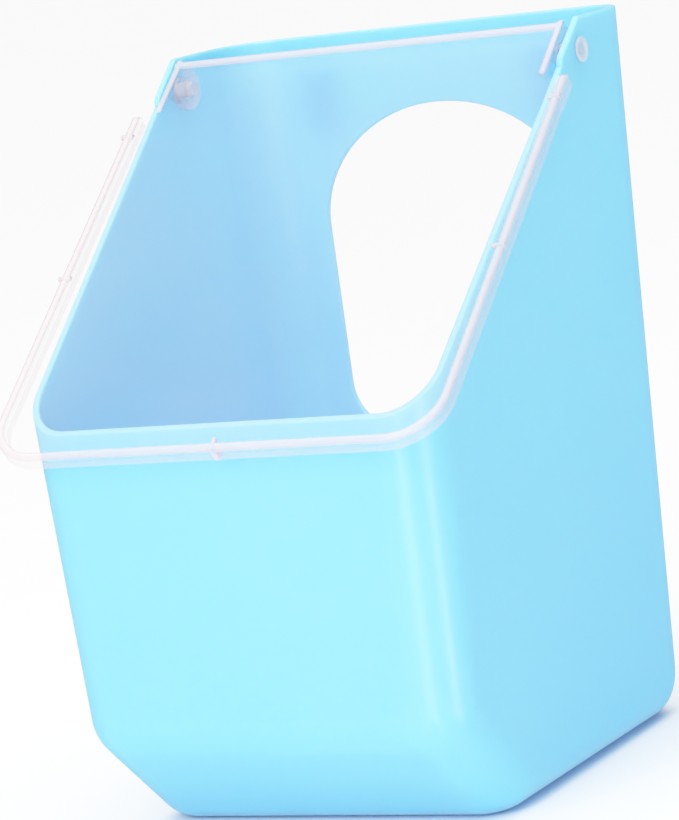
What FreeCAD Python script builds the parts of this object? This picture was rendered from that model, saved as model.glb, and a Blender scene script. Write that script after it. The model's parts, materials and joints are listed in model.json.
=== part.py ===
import FreeCAD, Part
import os
from math import cos, radians, sin, tan

# Outside-hung feeder for rabbits: a one-piece moulded hopper with a slanted open front, an arched
# head opening in its back wall and two moulded cage hooks, closed by a clear lid that swings on two
# push-in pins. Millimetres, +Z up, the front faces -Y. The origin is the middle of the flat base.

V = FreeCAD.Vector
X_AXIS = V(1, 0, 0)
Z_AXIS = V(0, 0, 1)
ORIGIN = V(0, 0, 0)
FAR = 400.0                      # longer than the feeder, for cutting tools

# ---- hopper ----
WIDTH = 160.0                    # outside, at the top of the side walls
HEIGHT = 249.8                   # side and back walls end at one level
BASE_DEPTH = 185.8               # back wall to front wall, at the base
WALL = 2.4
SIDE_DRAFT = 0.042               # each side wall leans in towards the base, mm per mm
FRONT_DRAFT = 0.008
LIP_HEIGHT = 141.7               # front wall's top edge
CHAMFER_HEIGHT = 36.3            # sloping foot of the front wall
CHAMFER_DEPTH = 39.3
CORNER_R = 17.4                  # upright front corners
BACK_CORNER_R = 19.5             # upright back corners
CHAMFER_R = 18.0                 # blends above and below the sloping foot
BASE_SIDE_R = 13.0
BASE_BACK_R = 21.7
RIM_ROUND = 0.7

# ---- frame: y of the back wall's outside face, so that the base's middle is the origin ----
BACK_Y = (BASE_DEPTH - CHAMFER_DEPTH + BASE_BACK_R) / 2
FRONT_Y = BACK_Y - BASE_DEPTH

# ---- slanted rim, from the ears down to the front lip ----
RIM_ANGLE = 36.87                # below the horizontal, degrees
LIP_Y = FRONT_Y - FRONT_DRAFT * LIP_HEIGHT
RIM_START_Y = BACK_Y - 47.0      # where the rim plane meets the hinge ears
RIM_START_Z = LIP_HEIGHT + (RIM_START_Y - LIP_Y) * tan(radians(RIM_ANGLE))
RIM_LENGTH = (RIM_START_Y - LIP_Y) / cos(radians(RIM_ANGLE))
EAR_PROUD = 2.0                  # the ears stand this far above the rim plane
EAR_END = 17.5                   # distance down the slope where the ears stop
EAR_END_R = 4.0

# ---- head opening in the back wall ----
HOLE_HALF = 49.4
HOLE_FOOT = 105.0                # lowest point
HOLE_FOOT_R = 18.0
HOLE_SPRING = 180.8              # height where the arch starts
HOLE_RISE = 41.0                 # height of the elliptical arch
HOLE_ROUND = 0.8                 # both edges of the opening are eased

# ---- cage hooks on the back wall ----
HOOK_X = 46.0
HOOK_WIDTH = 16.0
HOOK_TOP = 237.0
HOOK_DROP = 26.0
HOOK_GAP = 5.0                   # room for one cage wire
HOOK_PLATE = 3.0
HOOK_FLARE = 1.6                 # the free end leans out, to catch the wire

# ---- hinge ----
HINGE_Y = BACK_Y - 47.2
HINGE_Z = 238.7
PIN_R = 2.9
PIN_CLEARANCE = 0.05             # radial, pin in the ear
HEAD_R = 4.4
HEAD_HEIGHT = 1.1
HEAD_DISH_R = 2.2
HEAD_DISH = 0.6
BARB_R = 3.3
BARB_LENGTH = 1.8
HEAD_GAP = 0.15                  # between the pin's head and the ear
PIN_EASE = 0.6                   # eased edges of head and tip

# ---- lid, in its own frame: s down the slope, n square to it, both from the rim's start ----
LID_GAP = 0.3                    # between the lid and the rim
LID_THICK = 1.8
LID_TOP = 0.0
FLANGE_START = 26.5              # the overhanging flange begins below the ears
LID_HALF = 84.3                  # half width at the flange's start
LID_DRAFT = 0.006                # the flange narrows a little down the slope
FRONT_OVERHANG = 12.1
LID_CORNER_R = 19.0
BEAD_WIDTH = 3.0
BEAD_TOP = 3.1
SKIRT_FOOT = -2.4
BEAD_ROUND = 1.3
TAB_R = 7.4
TAB_SPREAD = 3.0                 # the tab widens towards the lid's panel
TAB_THICK = 2.6
TAB_CLEARANCE = 1.6              # between tab and ear
BOSS_R = 4.6
BOSS_GAP = 0.4                   # between the tab's spacer boss and the ear
TOP_BEAD = 3.8
NECK_BEAD = 2.4
NUB_R = 0.9                      # small moulding nubs across the bead
NUB_PROUD = 0.5
NUB_INWARD = 1.2                 # how far a nub reaches onto the panel
NUB_STEP = 0.1                   # a nub's upright part is thinner by this
NUB_FRONT_X = 4.0
NUB_PLACES = (37.0, 105.0)


def half_width(z):
    """Outside half width of the hopper at a height."""
    return WIDTH / 2 - SIDE_DRAFT * (HEIGHT - z)


def polygon_face(points):
    return Part.Face(Part.makePolygon(points + [points[0]]))


def mirrored(shape):
    return shape.mirror(ORIGIN, X_AXIS)


def line_cross(a, b, c, d):
    """Where the line through a, b meets the line through c, d (2-D tuples)."""
    ax, ay, bx, by = b[0] - a[0], b[1] - a[1], d[0] - c[0], d[1] - c[1]
    t = ((c[0] - a[0]) * by - (c[1] - a[1]) * bx) / (ax * by - ay * bx)
    return (a[0] + t * ax, a[1] + t * ay)


def inset_polygon(points, amount):
    """Moves every side of a counter-clockwise 2-D polygon inwards by the same amount."""
    moved = []
    for i, (x0, y0) in enumerate(points):
        x1, y1 = points[(i + 1) % len(points)]
        length = ((x1 - x0) ** 2 + (y1 - y0) ** 2) ** 0.5
        nx, ny = -(y1 - y0) / length * amount, (x1 - x0) / length * amount
        moved.append(((x0 + nx, y0 + ny), (x1 + nx, y1 + ny)))
    return [line_cross(*moved[i - 1], *moved[i]) for i in range(len(points))]


def box_form(inset):
    """The hopper's drafted outer form, moved inwards by inset, and open-ended above."""
    top = 300.0 + inset
    side = [(BACK_Y, 0), (BACK_Y, top), (FRONT_Y - FRONT_DRAFT * top, top),
            (FRONT_Y - FRONT_DRAFT * CHAMFER_HEIGHT, CHAMFER_HEIGHT), (FRONT_Y + CHAMFER_DEPTH, 0)]
    front = [(-half_width(0), 0), (half_width(0), 0), (half_width(top), top), (-half_width(top), top)]
    side = inset_polygon(side, inset)
    front = inset_polygon(front, inset)
    profile = polygon_face([V(-FAR / 2, y, z) for y, z in side]).extrude(V(FAR, 0, 0))
    outline = polygon_face([V(x, -FAR / 2, z) for x, z in front]).extrude(V(0, FAR, 0))
    return round_form(profile.common(outline), inset)


def round_form(form, inset):
    """Rounds the form's upright corners, its base and its sloping foot, each with its own radius."""
    document = FreeCAD.newDocument()
    base = document.addObject("Part::Feature", "Form")
    base.Shape = form
    fillet = document.addObject("Part::Fillet", "Rounded")
    fillet.Base = base
    edges = []
    for number, edge in enumerate(form.Edges, 1):
        radius = edge_radius(edge, inset)
        if radius:
            edges.append((number, radius - inset, radius - inset))
    fillet.Edges = edges
    document.recompute()
    shape = fillet.Shape.copy()
    FreeCAD.closeDocument(document.Name)
    return shape


def edge_radius(edge, inset):
    """The radius that an edge of the unrounded form gets, or None at its open top."""
    first, last = edge.Vertexes[0].Point, edge.Vertexes[-1].Point
    low, high = min(first.z, last.z), max(first.z, last.z)
    mid_y = (first.y + last.y) / 2
    floor = inset + 1e-3
    if low > 290:
        return None
    if high > 290:
        return BACK_CORNER_R if mid_y > 0 else CORNER_R
    if high > floor:
        return CHAMFER_R if low > floor else CORNER_R
    across = abs(first.x - last.x) > 1.0 and abs(first.y - last.y) < 1e-3
    if across and mid_y < 0:
        return CHAMFER_R
    return BASE_BACK_R if across else BASE_SIDE_R


def rim_point(s, n):
    """A point of the side view, s down the rim's slope and n square to it, as (y, z)."""
    a = radians(RIM_ANGLE)
    return (RIM_START_Y - s * cos(a) - n * sin(a), RIM_START_Z - s * sin(a) + n * cos(a))


def lid_coordinates(y, z):
    """A point of the side view in the lid's own frame, as (s, n): the reverse of rim_point."""
    a = radians(RIM_ANGLE)
    dy, dz = y - RIM_START_Y, z - RIM_START_Z
    return (-dy * cos(a) - dz * sin(a), -dy * sin(a) + dz * cos(a))


def above_rim():
    """The space above the walls, the ears and the slanted rim."""
    step = tan(radians(RIM_ANGLE))
    ear_y, ear_z = rim_point(0, EAR_PROUD)
    ear_top_y = ear_y + (HEIGHT - ear_z) / step
    points = [(BACK_Y + 40, HEIGHT), (ear_top_y, HEIGHT), rim_point(EAR_END, EAR_PROUD),
              rim_point(EAR_END + EAR_PROUD, 0), rim_point(RIM_LENGTH + 40, 0),
              (LIP_Y - 60, FAR), (BACK_Y + 40, FAR)]
    tool = polygon_face([V(-FAR / 2, y, z) for y, z in points]).extrude(V(FAR, 0, 0))
    corners = []
    for edge in tool.Edges:
        middle = edge.CenterOfMass
        y, z = rim_point(EAR_END, EAR_PROUD)
        if abs(middle.x) < 1 and abs(middle.y - y) < 0.01 and abs(middle.z - z) < 0.01:
            corners.append(edge)
    return tool.makeFillet(EAR_END_R, corners)


def hole_wire(y):
    """Outline of the head opening on a plane of constant y: arched above, rounded below."""
    half, foot, radius = HOLE_HALF, HOLE_FOOT, HOLE_FOOT_R
    arch = Part.Ellipse(V(0, y, HOLE_SPRING), half, HOLE_RISE)
    arch.Axis = V(0, -1, 0)
    arch = arch.toShape(0, radians(180))
    left, right = sorted(arch.Vertexes, key=lambda vertex: vertex.Point.x)
    diagonal = radius * (1 - cos(radians(45)))
    runs = [V(-half, y, foot + radius), V(-half + diagonal, y, foot + diagonal),
            V(-half + radius, y, foot), V(half - radius, y, foot),
            V(half - diagonal, y, foot + diagonal), V(half, y, foot + radius)]
    edges = [arch, Part.makeLine(left.Point, runs[0]),
             Part.Arc(runs[0], runs[1], runs[2]).toShape(), Part.makeLine(runs[2], runs[3]),
             Part.Arc(runs[3], runs[4], runs[5]).toShape(), Part.makeLine(runs[5], right.Point)]
    return Part.Wire(Part.__sortEdges__(edges))


def cut_hole(shell):
    """Cuts the head opening through the back wall and eases its two edges."""
    shell = shell.cut(Part.Face(hole_wire(BACK_Y - 20)).extrude(V(0, 40, 0)))
    edges = []
    for edge in shell.Edges:
        box = edge.BoundBox
        in_face = box.YLength < 1e-3 and box.YMin > BACK_Y - WALL - 1
        near_hole = max(-box.XMin, box.XMax) < HOLE_HALF + 0.1 and box.ZMin > HOLE_FOOT - 0.1
        if in_face and near_hole and box.ZMax < HOLE_SPRING + HOLE_RISE + 0.1:
            edges.append(edge)
    return shell.makeFillet(HOLE_ROUND, edges)


def cage_hook(x):
    """A hook that stands out of the back wall and opens downwards, to drop over a cage wire."""
    out = BACK_Y + HOOK_GAP
    foot = HOOK_TOP - HOOK_DROP
    points = [(BACK_Y - WALL / 2, HOOK_TOP), (BACK_Y - WALL / 2, HOOK_TOP - HOOK_PLATE),
              (out, HOOK_TOP - HOOK_PLATE), (out, foot + 6), (out + HOOK_FLARE, foot),
              (out + HOOK_FLARE + HOOK_PLATE * 0.8, foot), (out + HOOK_PLATE, foot + 6),
              (out + HOOK_PLATE, HOOK_TOP)]
    corner = x - HOOK_WIDTH / 2
    hook = polygon_face([V(corner, y, z) for y, z in points]).extrude(V(HOOK_WIDTH, 0, 0))
    outer = [edge for edge in hook.Edges
             if abs(edge.CenterOfMass.y - out - HOOK_PLATE) < 0.01
             and abs(edge.CenterOfMass.z - HOOK_TOP) < 0.01]
    return hook.makeFillet(2.0, outer)


def on_rim(point):
    """True on the top faces of the walls, the ears' front edges and the slanted rim."""
    s, n = lid_coordinates(point.y, point.z)
    ear = abs(n - EAR_PROUD) < 1e-3 and s < EAR_END + 1
    return abs(point.z - HEIGHT) < 1e-3 or ear or (abs(n) < 1e-3 and s > EAR_END)


def ease_rim(shell):
    """Rounds both edges of the rim all the way round, but not the short edges across it."""
    edges = []
    for edge in shell.Edges:
        span = edge.LastParameter - edge.FirstParameter
        points = [edge.valueAt(edge.FirstParameter + span * t) for t in (0.0, 0.3, 0.7, 1.0)]
        if edge.Length > WALL * 1.2 and all(on_rim(point) for point in points):
            edges.append(edge)
    return shell.makeFillet(RIM_ROUND, edges)


def hopper_body():
    """Drafted shell, open above the rim, with its hooks, head opening and pin holes."""
    shell = box_form(0).cut(box_form(WALL))
    shell = ease_rim(shell.cut(above_rim()))
    shell = cut_hole(shell).fuse([cage_hook(HOOK_X), cage_hook(-HOOK_X)])
    bore = Part.makeCylinder(PIN_R + PIN_CLEARANCE, FAR, V(-FAR / 2, HINGE_Y, HINGE_Z), X_AXIS)
    return shell.cut(bore)


def ear_inside():
    """x of the ear's inside face at the height of the hinge."""
    return half_width(HINGE_Z) - WALL


def lid_placed(shape):
    """Moves a shape from the lid's own frame (x, -s, n) onto the slanted rim."""
    placed = shape.copy()
    placed.rotate(ORIGIN, X_AXIS, RIM_ANGLE)
    placed.translate(V(0, RIM_START_Y, RIM_START_Z))
    return placed


def lid_half_width(s):
    """Half width of the flange at a distance down the slope."""
    return LID_HALF - LID_DRAFT * (s - FLANGE_START)


def flange_wire(n, inset):
    """The flange's outline, rounded at the front corners, moved in by inset."""
    end = RIM_LENGTH + FRONT_OVERHANG
    corners = [(-lid_half_width(end), -end), (lid_half_width(end), -end),
               (lid_half_width(FLANGE_START), -FLANGE_START),
               (-lid_half_width(FLANGE_START), -FLANGE_START)]
    a, b, c, d = [V(x, y, n) for x, y in inset_polygon(corners, inset)]
    plate = Part.Face(Part.makePolygon([a, b, c, d, a])).extrude(V(0, 0, 1))
    upright = [edge for edge in plate.Edges
               if abs(edge.Vertexes[0].X - edge.Vertexes[-1].X) < 1e-6
               and abs(edge.Vertexes[0].Y - edge.Vertexes[-1].Y) < 1e-6
               and edge.Vertexes[0].Y < -end / 2]
    rounded = plate.makeFillet(LID_CORNER_R - inset, upright)
    face = min(rounded.Faces, key=lambda item: item.CenterOfMass.z)
    return face.OuterWire


def flange_prism(low, high, inset):
    return Part.Face(flange_wire(low, inset)).extrude(V(0, 0, high - low))


def bead_and_skirt():
    """Raised rounded bead and turned-down skirt on three sides of the flange."""
    ring = flange_prism(SKIRT_FOOT, BEAD_TOP, 0).cut(flange_prism(SKIRT_FOOT - 1, BEAD_TOP + 1, BEAD_WIDTH))
    across = Part.makeBox(FAR, BEAD_WIDTH + 0.2, 20, V(-FAR / 2, -FLANGE_START - BEAD_WIDTH - 0.1, -10))
    inner = Part.makeBox(2 * (lid_half_width(FLANGE_START) - BEAD_WIDTH), BEAD_WIDTH + 0.2, 20,
                         V(-lid_half_width(FLANGE_START) + BEAD_WIDTH, -FLANGE_START - BEAD_WIDTH - 0.1, -10))
    ring = ring.cut(across.common(inner))
    top = [edge for edge in ring.Edges if abs(edge.BoundBox.ZMin - BEAD_TOP) < 1e-4]
    return ring.makeFillet(BEAD_ROUND, top)


def hinge_tab(outer_x):
    """Left tab: a plate below the lid's edge, rounded about the hinge, with a spacer boss."""
    hinge_s, hinge_n = hinge_on_lid()
    face_low = LID_GAP + 0.5
    back = V(0, -(hinge_s - TAB_R), hinge_n)
    front = V(0, -(hinge_s + TAB_R), hinge_n)
    bottom = V(0, -hinge_s, hinge_n - TAB_R)
    back_top = V(0, -LID_TOP, face_low)
    front_top = V(0, front.y - TAB_SPREAD, face_low)
    edges = [Part.Arc(back, bottom, front).toShape(), Part.makeLine(front, front_top),
             Part.makeLine(front_top, back_top), Part.makeLine(back_top, back)]
    plate = Part.Face(Part.Wire(edges)).extrude(V(TAB_THICK, 0, 0))
    plate.translate(V(outer_x, 0, 0))
    boss_length = outer_x + ear_inside() - BOSS_GAP
    boss = Part.makeCylinder(BOSS_R, boss_length + 0.5, V(outer_x + 0.5, -hinge_s, hinge_n), V(-1, 0, 0))
    return plate.fuse(boss)


def neck_bead(outer_x):
    """Left bead: a low rounded ridge along the neck's edge, with a rounded end."""
    length = FLANGE_START - LID_TOP - 1
    ridge = Part.makeBox(NECK_BEAD, length, BEAD_TOP - LID_GAP, V(outer_x, -LID_TOP - length, LID_GAP))
    end = [edge for edge in ridge.Edges if edge.BoundBox.ZLength > 1 and edge.BoundBox.YMax < -length / 2]
    ridge = ridge.makeFillet(NECK_BEAD / 2 - 0.05, end)
    top = [edge for edge in ridge.Edges
           if abs(edge.BoundBox.ZMin - BEAD_TOP) < 1e-3 and edge.BoundBox.YMin < -LID_TOP - 1]
    return ridge.makeFillet(0.6, top)


def hinge_on_lid():
    return lid_coordinates(HINGE_Y, HINGE_Z)


def lid():
    """Clear lid: panel, overhanging flange with bead and skirt, top bead, tabs and bosses."""
    tab_x = ear_inside() - TAB_CLEARANCE
    flange = flange_prism(LID_GAP, LID_GAP + LID_THICK, 0)
    neck_length = FLANGE_START - LID_TOP + 1
    neck = Part.makeBox(2 * tab_x, neck_length, LID_THICK, V(-tab_x, -LID_TOP - neck_length, LID_GAP))
    top_bead = Part.makeBox(2 * tab_x, TOP_BEAD, BEAD_TOP - LID_GAP, V(-tab_x, -LID_TOP - TOP_BEAD, LID_GAP))
    crest = [edge for edge in top_bead.Edges
             if abs(edge.BoundBox.ZMin - BEAD_TOP) < 1e-4 and edge.BoundBox.XLength > 10]
    top_bead = top_bead.makeFillet(BEAD_ROUND, crest)
    tab = hinge_tab(-tab_x).fuse(neck_bead(-tab_x))
    shape = flange
    for piece in [neck, bead_and_skirt(), top_bead, tab, mirrored(tab)] + moulding_nubs():
        shape = shape.fuse(piece)
    hinge_s, hinge_n = hinge_on_lid()
    bore = Part.makeCylinder(PIN_R, FAR, V(-FAR / 2, -hinge_s, hinge_n), X_AXIS)
    return lid_placed(shape.cut(bore).removeSplitter())


def moulding_nub(edge, inward):
    """A small ridge across the bead and down the skirt, from a point on the lid's outline."""
    level = V(0, 0, BEAD_TOP - NUB_R + NUB_PROUD)
    length = BEAD_WIDTH + NUB_PROUD + NUB_INWARD
    across = Part.makeCylinder(NUB_R, length, edge + level - inward * NUB_PROUD, inward)
    radius = NUB_R - NUB_STEP
    foot = edge + V(0, 0, SKIRT_FOOT + NUB_STEP) + inward * (radius - NUB_PROUD + NUB_STEP)
    return across.fuse(Part.makeCylinder(radius, level.z - SKIRT_FOOT - NUB_STEP, foot))


def moulding_nubs():
    """Where the moulding gates were: one in front, two on each side."""
    nubs = [moulding_nub(V(NUB_FRONT_X, -(RIM_LENGTH + FRONT_OVERHANG), 0), V(0, 1, 0))]
    for s in NUB_PLACES:
        nub = moulding_nub(V(lid_half_width(s), -s, 0), V(-1, 0, 0))
        nubs += [nub, mirrored(nub)]
    return nubs


def hinge_pin():
    """Left push-in pin: dished head outside the ear, shank through ear and tab, barb inside."""
    seat = -half_width(HINGE_Z + HEAD_R) - HEAD_GAP
    crown = seat - HEAD_HEIGHT
    tab_inside = -(ear_inside() - TAB_CLEARANCE - TAB_THICK)
    tip = tab_inside + BARB_LENGTH
    outline = [(crown + HEAD_DISH, 0), (crown + HEAD_DISH, HEAD_DISH_R - PIN_EASE),
               (crown, HEAD_DISH_R), (crown, HEAD_R - PIN_EASE), (crown + PIN_EASE, HEAD_R),
               (seat, HEAD_R), (seat, PIN_R), (tab_inside, PIN_R), (tab_inside, BARB_R),
               (tip, PIN_R - PIN_EASE), (tip, 0)]
    pin = polygon_face([V(x, 0, r) for x, r in outline]).revolve(ORIGIN, X_AXIS, 360)
    pin.translate(V(0, HINGE_Y, HINGE_Z))
    return pin


def main():
    left_pin = hinge_pin()
    parts = {"hopper_body": hopper_body(), "clear_lid": lid(),
             "hinge_pin_left": left_pin, "hinge_pin_right": mirrored(left_pin)}
    os.makedirs("parts", exist_ok=True)
    for name, shape in parts.items():
        box = shape.BoundBox
        size = [round(value, 1) for value in (box.XLength, box.YLength, box.ZLength)]
        print(name, "valid", shape.isValid(), "solids", len(shape.Solids), "size", size)
        shape.exportStep(f"parts/{name}.step")


main()
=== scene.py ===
import json
from math import cos, radians, sin

import bpy
from mathutils import Matrix, Vector

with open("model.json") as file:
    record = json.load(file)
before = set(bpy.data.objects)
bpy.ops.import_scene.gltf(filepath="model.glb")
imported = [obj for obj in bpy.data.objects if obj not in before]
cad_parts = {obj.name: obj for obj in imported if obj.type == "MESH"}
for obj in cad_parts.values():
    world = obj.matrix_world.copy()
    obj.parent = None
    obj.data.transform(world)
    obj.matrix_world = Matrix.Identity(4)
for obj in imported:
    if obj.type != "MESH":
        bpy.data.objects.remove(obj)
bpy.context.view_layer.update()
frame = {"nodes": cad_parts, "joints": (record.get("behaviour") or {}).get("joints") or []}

# A blue moulded feeder box with a clear hinged lid. Metres and degrees, in the CAD's frame: +Z is
# up and the front faces -Y. The CAD's own shapes are kept, and get their materials here.

# ---- camera ----
CAMERA_AZIMUTH = 28.92
CAMERA_ELEVATION = 8.58
CAMERA_ROLL = -8.05
CAMERA_DISTANCE = 1.4077
CAMERA_TARGET = Vector((-0.0003, -0.0191, 0.1304))
FOCAL_LENGTH = 221.3
SENSOR_WIDTH = 36.0

# ---- exposure ----
CURVE_WHITE = 1.6                # scene light that is shown as white
CURVE = ((0.27, 0.265), (0.75, 0.69), (1.15, 0.90))    # scene light, shown brightness

# ---- lights ----
LIT_MIDDLE = (0, 0, 0.12)        # where the key light points
WORLD_STRENGTH = 0.50
SUN_STRENGTH = 3.15
SUN_ANGLE = 70
KEY_AZIMUTH, KEY_ELEVATION, KEY_DISTANCE = 0, 30, 1.8
KEY_SIZE = (1.2, 1.2)
KEY_POWER = 28
STRIPS = {"strip_front": (22, -14), "strip_side": (79, -15)}    # azimuth, elevation
STRIP_DISTANCE = 0.6
STRIP_SIZE = (0.03, 0.45)
STRIP_POWER = 0.9
STRIP_TILT = 45
FRONT_CORNER = (0.068, -0.09, 0.09)    # the upright edge that the strips shine on

# ---- lid: the slanted plane that its panel lies on, placed from the hinge ----
RIM_ANGLE = 36.87                # below the horizontal
HINGE_DEPTH = 0.00624            # hinge axis below the rim's plane
PANEL_MIDDLE = 0.0012            # middle of the lid's sheet above the rim's plane
PANEL_HALF = 0.0009              # half of the sheet's thickness
LID_HALF_WIDTH = 0.0838
LID_EDGE_BLEND = 0.0003          # over which one clearness turns into another
LID_LENGTH = 0.1821              # from the hinge to the front edge, down the slope
LID_CORNER = 0.019               # radius of its front corners
TAB_RADIUS = 0.0076              # round the hinge
TAB_BLEND = 0.0004
BEAD_WIDTH = 0.0032
CREST_LOW = 0.0008               # from here to CREST_HIGH above the rim's plane the bead gets milky
CREST_HIGH = 0.0022
NUB_X = 0.004                    # the front moulding nub, across the bead
NUB_HALF = 0.0009
NUB_REACH = 0.0044               # from the outline onto the panel
NUB_BLEND = 0.0002

# ---- colours, linear ----
SKY_BLUE = (0.200, 0.534, 0.938)
SKY_BLUE_PALE = (0.208, 0.542, 0.941)
SKY_BLUE_DEEP = (0.192, 0.526, 0.935)
# The lid's milky tints: milky plastic, with a pink warmth that is a painted warm reflection.
WARM_MILK_PAINTED_REFLECTION = (0.62, 0.49, 0.50)
COOLER_MILK_PAINTED_REFLECTION = (0.58, 0.485, 0.50)
# Pale pin milk. On the lid's hinge tabs it is also painted light, lifting the shade they sit in
# inside the box.
PIN_MILK_AND_TAB_PAINTED_LIGHT = (0.74, 0.72, 0.74)
PIN_MILK_COOL = (0.70, 0.70, 0.73)
FLOOR_COOL = (0.935, 0.940, 0.945)
FLOOR_WARM = (0.95, 0.95, 0.95)


class Nodes:
    """A material's node tree, with short calls to add and join nodes."""

    def __init__(self, name):
        self.material = bpy.data.materials.new(name)
        self.material.use_nodes = True
        self.tree = self.material.node_tree
        self.shader = self.tree.nodes["Principled BSDF"]
        self.place = self.add("TexCoord").outputs["Object"]

    def add(self, kind, inputs=None, **properties):
        """Adds a node. An input takes a number, a colour or another node's output."""
        node = self.tree.nodes.new("ShaderNode" + kind)
        for name, value in properties.items():
            setattr(node, name, value)
        for key, value in (inputs or {}).items():
            self.feed(node.inputs[key], value)
        return node

    def feed(self, socket, value):
        if isinstance(value, bpy.types.NodeSocket):
            self.tree.links.new(value, socket)
        else:
            socket.default_value = value

    def set(self, **values):
        """Sets the shader's inputs; an underscore in a name stands for a space."""
        for name, value in values.items():
            self.feed(self.shader.inputs[name.replace("_", " ")], value)

    def math(self, operation, first, second=0.0, clamp=False):
        node = self.add("Math", {0: first, 1: second}, operation=operation, use_clamp=clamp)
        return node.outputs["Value"]

    def length(self, first, second):
        """Length of a vector with these two parts."""
        squares = self.math("ADD", self.math("POWER", first, 2), self.math("POWER", second, 2))
        return self.math("SQRT", squares)

    def along(self, direction):
        """Distance from the origin along a direction."""
        node = self.add("VectorMath", {0: self.place, 1: direction}, operation="DOT_PRODUCT")
        return node.outputs["Value"]

    def near(self, value, middle, half):
        """1 where a value lies within half of the middle, else 0."""
        away = self.math("ABSOLUTE", self.math("SUBTRACT", value, middle))
        return self.span(away, half, half + NUB_BLEND, 1, 0)

    def noise(self, scale, detail=2.0, roughness=0.5, stretch=(1, 1, 1)):
        """Noise at so many features per metre, stretched along an axis by a number below 1."""
        place = self.add("Mapping", {"Vector": self.place, "Scale": stretch}).outputs["Vector"]
        inputs = {"Vector": place, "Scale": scale, "Detail": detail, "Roughness": roughness}
        return self.add("TexNoise", inputs).outputs["Fac"]

    def span(self, value, low, high, to_low, to_high):
        """Maps low..high onto to_low..to_high."""
        inputs = {"Value": value, "From Min": low, "From Max": high,
                  "To Min": to_low, "To Max": to_high}
        return self.add("MapRange", inputs).outputs["Result"]

    def blend(self, factor, first, second):
        node = self.add("Mix", data_type="RGBA")
        self.feed(node.inputs["Factor"], factor)
        self.feed(node.inputs["A"], (*first, 1) if isinstance(first, tuple) else first)
        self.feed(node.inputs["B"], (*second, 1) if isinstance(second, tuple) else second)
        return [output for output in node.outputs if output.type == "RGBA"][0]

    def bump(self, height, distance, strength=1.0, normal=None):
        inputs = {"Height": height, "Distance": distance, "Strength": strength}
        if normal is not None:
            inputs["Normal"] = normal
        return self.add("Bump", inputs).outputs["Normal"]


def hopper_plastic():
    """Sky-blue polypropylene: satin, faintly clouded, with fine texture and light scuffs."""
    nodes = Nodes("hopper_plastic")
    cloud = nodes.noise(14, 1)
    flow = nodes.noise(55, 1, 0.5, (1, 1, 0.15))
    colour = nodes.blend(nodes.span(cloud, 0.1, 0.9, 0, 1), SKY_BLUE_DEEP, SKY_BLUE_PALE)
    colour = nodes.blend(nodes.span(flow, 0.3, 0.9, 0, 0.5), colour, SKY_BLUE)
    grain = nodes.noise(1500, 2, 0.6)
    ripple = nodes.noise(60, 1)
    scuff = nodes.noise(900, 3, 0.6, (1, 1, 0.12))
    scuffed = nodes.span(scuff, 0.55, 0.85, 0, 0.06)
    roughness = nodes.math("ADD", nodes.span(cloud, 0.1, 0.9, 0.285, 0.32), scuffed)
    normal = nodes.bump(ripple, 0.0004, 0.10)
    normal = nodes.bump(grain, 0.00003, 0.25, normal)
    nodes.set(Base_Color=colour, Roughness=roughness, Normal=normal, IOR=1.49,
              Subsurface_Weight=0.85, Subsurface_Radius=(0.9, 1.0, 1.0), Subsurface_Scale=0.010)
    return nodes.material


def lid_zones(nodes):
    """Masks on the lid: its milky crest, what lies below its sheet, and its hinge tabs."""
    slope = radians(RIM_ANGLE)
    outward = Vector((0, -sin(slope), cos(slope)))
    down = Vector((0, -cos(slope), -sin(slope)))
    hinge = Vector(frame["joints"][0]["pos_m"])
    level = outward.dot(hinge + outward * HINGE_DEPTH)
    height = nodes.math("SUBTRACT", nodes.along(outward), level)
    along_slope = nodes.math("SUBTRACT", nodes.along(down), down.dot(hinge))
    sideways = nodes.along(Vector((1, 0, 0)))
    across = nodes.math("ABSOLUTE", sideways)

    # The distance from the outline's inner rounded corners; LID_CORNER on the outline itself.
    side = nodes.math("SUBTRACT", across, LID_HALF_WIDTH - LID_CORNER)
    front = nodes.math("SUBTRACT", along_slope, LID_LENGTH - LID_CORNER)
    outline = nodes.length(nodes.math("MAXIMUM", side, 0), nodes.math("MAXIMUM", front, 0))

    sheet_top, sheet_foot = PANEL_MIDDLE + PANEL_HALF, PANEL_MIDDLE - PANEL_HALF
    above_sheet = nodes.span(height, sheet_top, sheet_top + LID_EDGE_BLEND, 0, 1)
    bead_start = LID_CORNER - BEAD_WIDTH
    bead = nodes.span(outline, bead_start, bead_start + LID_EDGE_BLEND, 0, 1)
    bead = nodes.math("MULTIPLY", bead, nodes.span(height, CREST_LOW, CREST_HIGH, 0, 1))
    nub_start = LID_CORNER - NUB_REACH
    nub = nodes.span(outline, nub_start, nub_start + NUB_BLEND, 0, 1)
    nub = nodes.math("MULTIPLY", nodes.near(sideways, NUB_X, NUB_HALF), nub)
    crest = nodes.math("MAXIMUM", nodes.math("MAXIMUM", above_sheet, bead), nub)

    below = nodes.span(height, sheet_foot - LID_EDGE_BLEND, sheet_foot, 1, 0)
    from_hinge = nodes.length(along_slope, nodes.math("ADD", height, HINGE_DEPTH))
    tab = nodes.span(from_hinge, TAB_RADIUS, TAB_RADIUS + TAB_BLEND, 1, 0)
    return crest, below, tab


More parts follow.
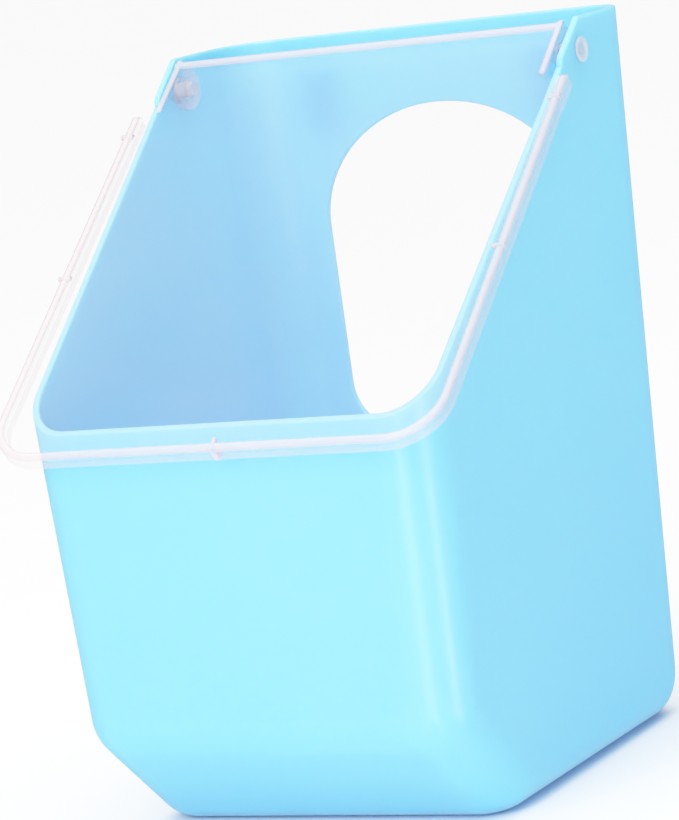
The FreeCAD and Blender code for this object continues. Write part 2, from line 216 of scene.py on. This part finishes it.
def clear_plastic(name, tints, sheet, crest, skirt, tab):
    """Clear, slightly milky plastic. It takes how far the sheet, the crest, the skirt and the tabs
    cover what is behind them, from 0 to 1."""
    nodes = Nodes(name)
    on_crest, below, on_tab = lid_zones(nodes)
    streak = nodes.noise(22, 2, 0.5)
    haze = nodes.span(streak, 0.3, 0.7, -0.006, 0.008)
    cover = nodes.math("ADD", nodes.span(on_crest, 0, 1, sheet, crest), haze)
    extra = nodes.span(on_tab, 0, 1, skirt - sheet, tab - sheet)
    cover = nodes.math("ADD", cover, nodes.math("MULTIPLY", below, extra))
    rim = nodes.add("LayerWeight", {"Blend": 0.35}).outputs["Facing"]
    cover = nodes.math("ADD", cover, nodes.span(rim, 0.55, 1, 0, 0.22), clamp=True)
    grain = nodes.noise(900, 2, 0.6)
    wave = nodes.noise(45, 1)
    normal = nodes.bump(wave, 0.0006, 0.12)
    normal = nodes.bump(grain, 0.00002, 0.2, normal)
    # The lid's milky colour with its painted warm reflection, varied at random by the streaks.
    colour = nodes.blend(nodes.span(streak, 0.3, 0.7, 0, 1), *tints)
    # Over the hinge tabs the colour turns to the pale pin milk: painted light against the shade
    # inside the box.
    nodes.set(Base_Color=nodes.blend(on_tab, colour, PIN_MILK_AND_TAB_PAINTED_LIGHT), Normal=normal, IOR=1.5, Alpha=cover,
              Roughness=nodes.span(wave, 0.3, 0.7, 0.10, 0.17))
    return nodes.material


def give(node, material):
    mesh = frame["nodes"][node].data
    mesh.materials.clear()
    mesh.materials.append(material)


def from_azimuth(azimuth, elevation, distance, target=LIT_MIDDLE):
    """A point at a distance from the target; azimuth 0 is in front of it, 90 to its right."""
    a, e = radians(azimuth), radians(elevation)
    return Vector(target) + Vector((sin(a) * cos(e), -cos(a) * cos(e), sin(e))) * distance


def area_light(name, azimuth, elevation, distance, size, power, tilt=0, target=LIT_MIDDLE):
    data = bpy.data.lights.new(name, "AREA")
    data.shape = "RECTANGLE"
    data.size, data.size_y = size
    data.energy = power
    light = bpy.data.objects.new(name, data)
    place = from_azimuth(azimuth, elevation, distance, target)
    turn = (Vector(target) - place).to_track_quat("-Z", "Y").to_matrix()
    turn = turn @ Matrix.Rotation(radians(tilt), 3, "Z")
    light.matrix_world = Matrix.Translation(place) @ turn.to_4x4()
    light.visible_camera = False
    bpy.context.scene.collection.objects.link(light)
    return light


def add_floor():
    bpy.ops.mesh.primitive_plane_add(size=30)
    floor = bpy.context.object
    floor.name = "floor"
    nodes = Nodes("floor_paint")
    mottle = nodes.span(nodes.noise(3, 2), 0.3, 0.7, 0, 1)
    nodes.set(Base_Color=nodes.blend(mottle, FLOOR_COOL, FLOOR_WARM), Roughness=0.6)
    floor.data.materials.append(nodes.material)
    floor.visible_glossy = False
    floor.visible_shadow = False


def add_camera():
    data = bpy.data.cameras.new("camera")
    data.sensor_fit = "HORIZONTAL"
    data.sensor_width = SENSOR_WIDTH
    data.lens = FOCAL_LENGTH
    data.clip_end = 50
    camera = bpy.data.objects.new("camera", data)
    place = from_azimuth(CAMERA_AZIMUTH, CAMERA_ELEVATION, CAMERA_DISTANCE, CAMERA_TARGET)
    turn = (CAMERA_TARGET - place).to_track_quat("-Z", "Y").to_matrix()
    turn = turn @ Matrix.Rotation(radians(CAMERA_ROLL), 3, "Z")
    camera.matrix_world = Matrix.Translation(place) @ turn.to_4x4()
    bpy.context.scene.collection.objects.link(camera)
    bpy.context.scene.camera = camera


def set_exposure_curve():
    """A camera's response: straight in the shadows, with a soft shoulder up to white."""
    view = bpy.context.scene.view_settings
    view.view_transform = "Standard"
    view.use_curve_mapping = True
    mapping = view.curve_mapping
    mapping.white_level = (CURVE_WHITE,) * 3
    curve = mapping.curves[3]
    for light, shown in CURVE:
        curve.points.new(light / CURVE_WHITE, shown)
    mapping.update()


def add_light():
    world = bpy.data.worlds.new("studio")
    world.use_nodes = True
    background = world.node_tree.nodes["Background"].inputs
    background["Color"].default_value = (1.0, 1.0, 1.0, 1)
    background["Strength"].default_value = WORLD_STRENGTH
    bpy.context.scene.world = world
    sun = bpy.data.lights.new("overhead", "SUN")
    sun.energy, sun.angle = SUN_STRENGTH, radians(SUN_ANGLE)
    bpy.context.scene.collection.objects.link(bpy.data.objects.new("overhead", sun))
    area_light("key", KEY_AZIMUTH, KEY_ELEVATION, KEY_DISTANCE, KEY_SIZE, KEY_POWER)
    for name, (azimuth, elevation) in STRIPS.items():
        area_light(name, azimuth, elevation, STRIP_DISTANCE, STRIP_SIZE, STRIP_POWER,
                   STRIP_TILT, FRONT_CORNER)


add_camera()
add_floor()
add_light()
give("hopper_body", hopper_plastic())
lid_tints, pin_tints = (COOLER_MILK_PAINTED_REFLECTION, WARM_MILK_PAINTED_REFLECTION), (PIN_MILK_COOL, PIN_MILK_AND_TAB_PAINTED_LIGHT)
lid_plastic = clear_plastic("lid_plastic", lid_tints, sheet=0.070, crest=0.56, skirt=0.18, tab=0.34)
give("clear_lid", lid_plastic)
pin_plastic = clear_plastic("pin_plastic", pin_tints, sheet=0.32, crest=0.32, skirt=0.32, tab=0.32)
give("hinge_pin_left", pin_plastic)
give("hinge_pin_right", pin_plastic)
set_exposure_curve()
